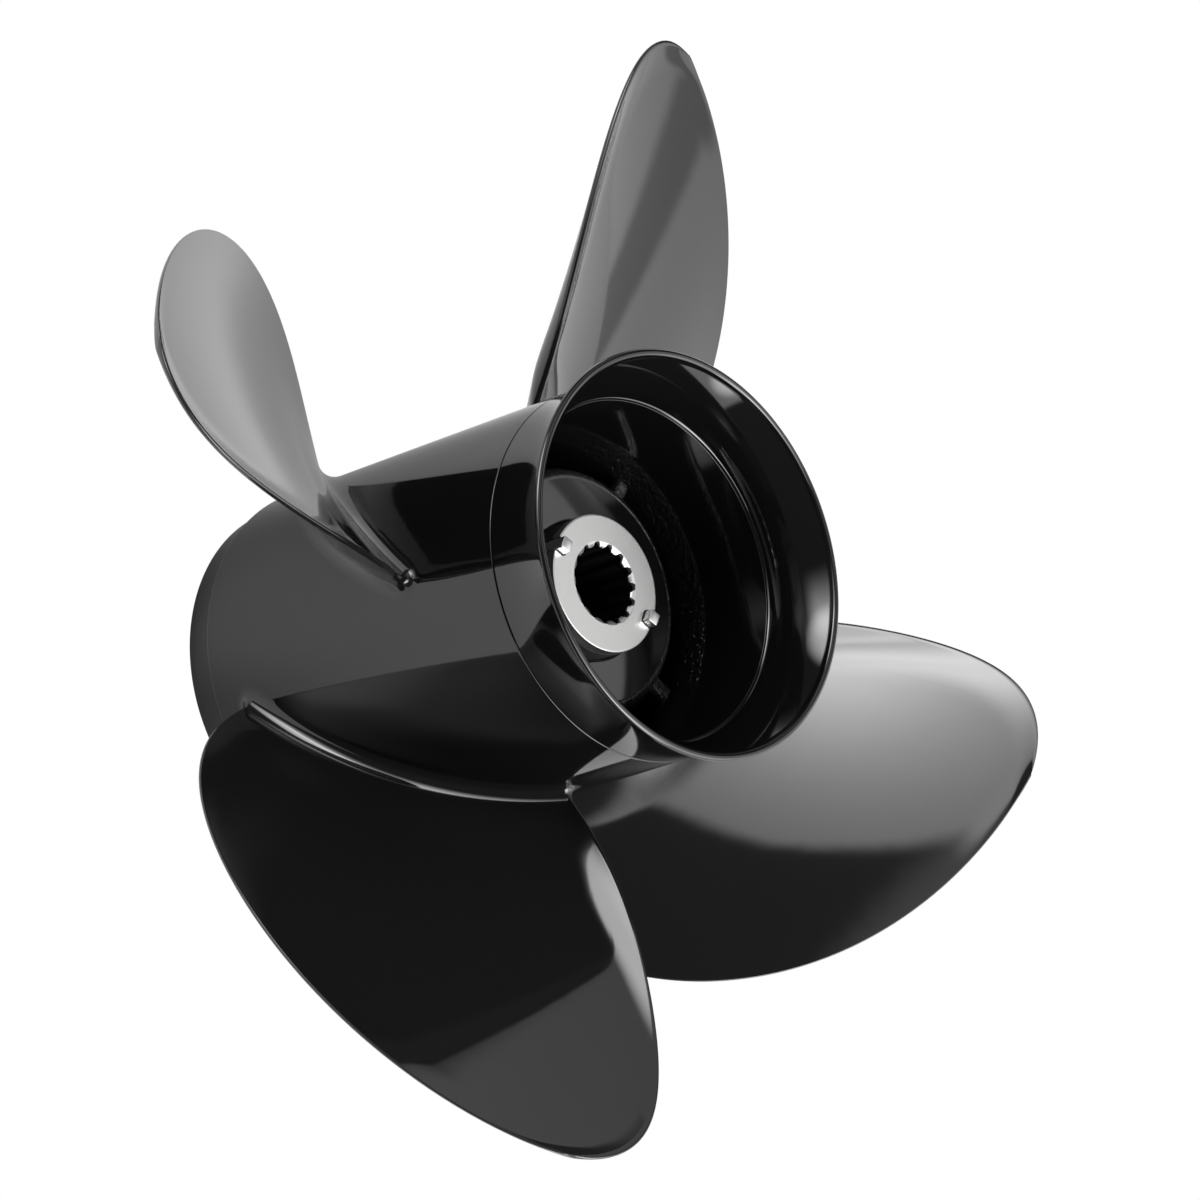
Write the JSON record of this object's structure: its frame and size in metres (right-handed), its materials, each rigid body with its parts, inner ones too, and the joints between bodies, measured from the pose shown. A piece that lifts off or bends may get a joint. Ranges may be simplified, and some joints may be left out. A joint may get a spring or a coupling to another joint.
{
  "type": "outboard motor propeller",
  "caption": "Right-hand boat propeller with raked blades on a flared exhaust barrel and a splined, rubber-bushed inner hub.",
  "frame": {"origin": "shaft axis in the plane of the fore rim, on which the propeller stands", "axes": "+Z along the shaft towards aft, +X through the root of blade_4"},
  "size_m": [0.3148, 0.3148, 0.1633],
  "materials": {
    "gloss_black": "gloss",
    "cast_black": "satin",
    "rubber": "matte",
    "bare_metal": "satin"
  },
  "bodies": {
    "root": {"barrel": "gloss_black", "flared_ring": "gloss_black", "inner_hub": "cast_black", "rib_1": "cast_black", "rib_2": "cast_black", "rib_3": "cast_black", "rib_4": "cast_black", "blade_1": "gloss_black", "blade_2": "gloss_black", "blade_3": "gloss_black", "blade_4": "gloss_black", "rubber_bush": "rubber", "drive_sleeve": "bare_metal", "notched_washer": "bare_metal"}
  },
  "joints": []
}
